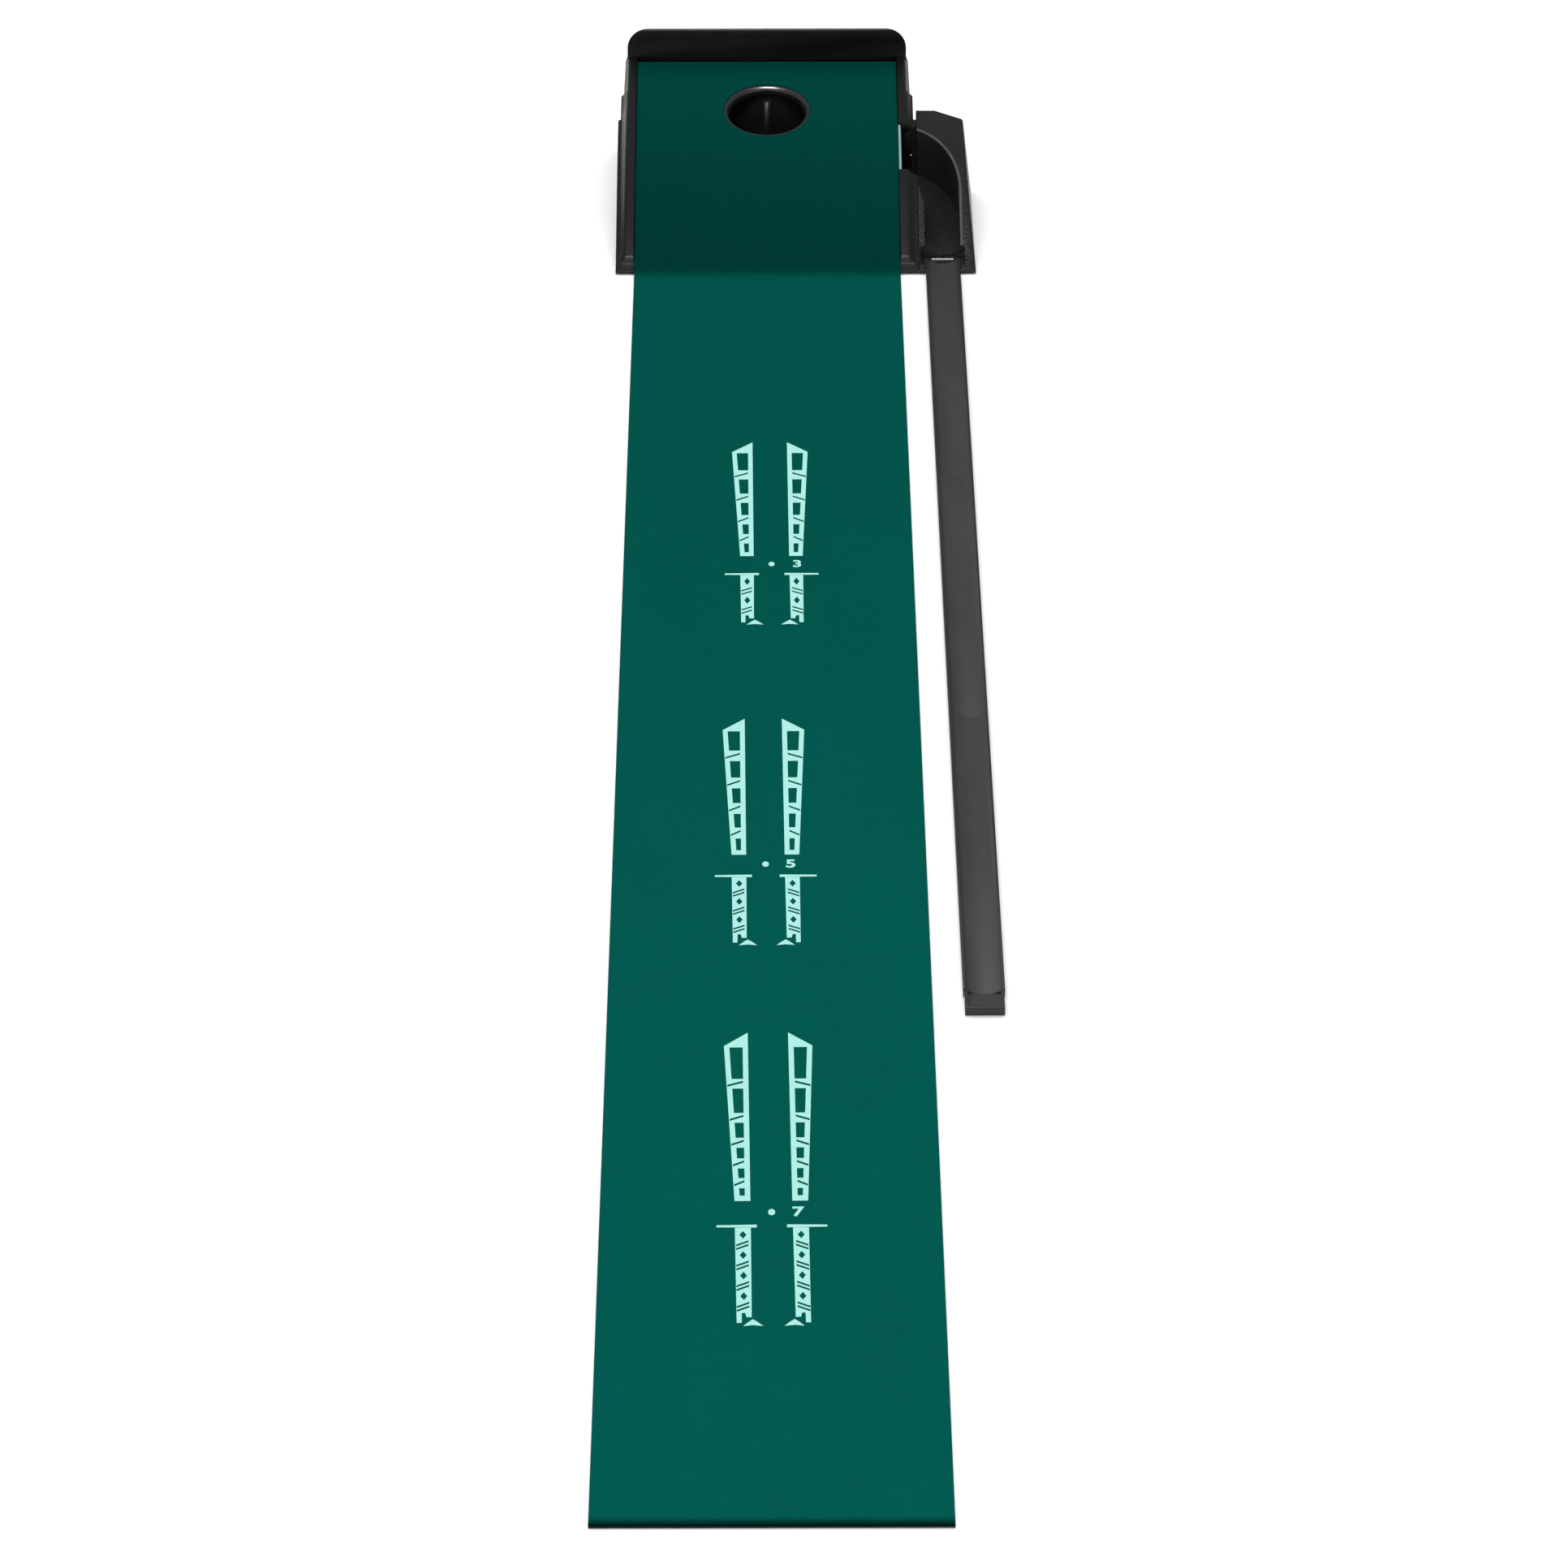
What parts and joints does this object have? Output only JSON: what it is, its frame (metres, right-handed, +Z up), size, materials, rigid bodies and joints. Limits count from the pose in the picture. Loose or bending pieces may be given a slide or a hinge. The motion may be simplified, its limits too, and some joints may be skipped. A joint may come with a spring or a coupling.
{
  "type": "putting mat with ball return",
  "caption": "Long putting mat with a ramped end, cup, backstop and side chute with a straight track that rolls the ball back to the player.",
  "frame": {"origin": "on the floor, under the centre of the cup", "axes": "+X towards the side with the ball return, +Y away from the player along the mat, +Z up"},
  "size_m": [0.4143, 2.7393, 0.155],
  "materials": {
    "moulded_plastic": "fine grain",
    "fence_plastic": "satin",
    "chute_plastic": "fine grain",
    "track_plastic": "satin",
    "mat_rubber": "matt",
    "turf": "short pile",
    "zinc_steel": "zinc plated",
    "pad_rubber": "matt",
    "hook_tape": "hook and loop"
  },
  "bodies": {
    "base": {"ramp_shell": "moulded_plastic", "ball_gutter": "moulded_plastic", "backstop": "fence_plastic", "return_chute": "chute_plastic", "chute_screw_1": "zinc_steel", "chute_screw_2": "zinc_steel", "chute_screw_3": "zinc_steel", "gutter_screw_1": "zinc_steel", "gutter_screw_2": "zinc_steel", "gutter_screw_3": "zinc_steel", "gutter_screw_4": "zinc_steel", "backstop_screw_1": "zinc_steel", "backstop_screw_2": "zinc_steel", "backstop_screw_3": "zinc_steel", "rubber_foot_chute": "pad_rubber", "rubber_foot_cup": "pad_rubber", "rubber_foot_left_front": "pad_rubber", "rubber_foot_left_rear": "pad_rubber", "rubber_foot_right_front": "pad_rubber", "rubber_foot_right_rear": "pad_rubber", "hook_strip_1": "hook_tape", "hook_strip_2": "hook_tape"},
    "mat": {"mat_backing_floor": "mat_rubber", "mat_backing_ramp": "mat_rubber", "turf": "turf"},
    "track_near": {"track_section_1": "track_plastic"},
    "track_middle": {"track_section_2": "track_plastic"},
    "track_far": {"track_section_3": "track_plastic", "track_end_stop": "track_plastic"}
  },
  "joints": [
    {"name": "mat_lift", "type": "slide", "parent": "base", "child": "mat", "axis": [0, 0, 1], "range_m": [0, 0.15]},
    {"name": "track_pull_1", "type": "slide", "parent": "base", "child": "track_near", "axis": [0, -1, 0], "range_m": [0, 0.03]},
    {"name": "track_pull_2", "type": "slide", "parent": "track_near", "child": "track_middle", "axis": [0, -1, 0], "range_m": [0, 0.03]},
    {"name": "track_pull_3", "type": "slide", "parent": "track_middle", "child": "track_far", "axis": [0, -1, 0], "range_m": [0, 0.03]}
  ]
}
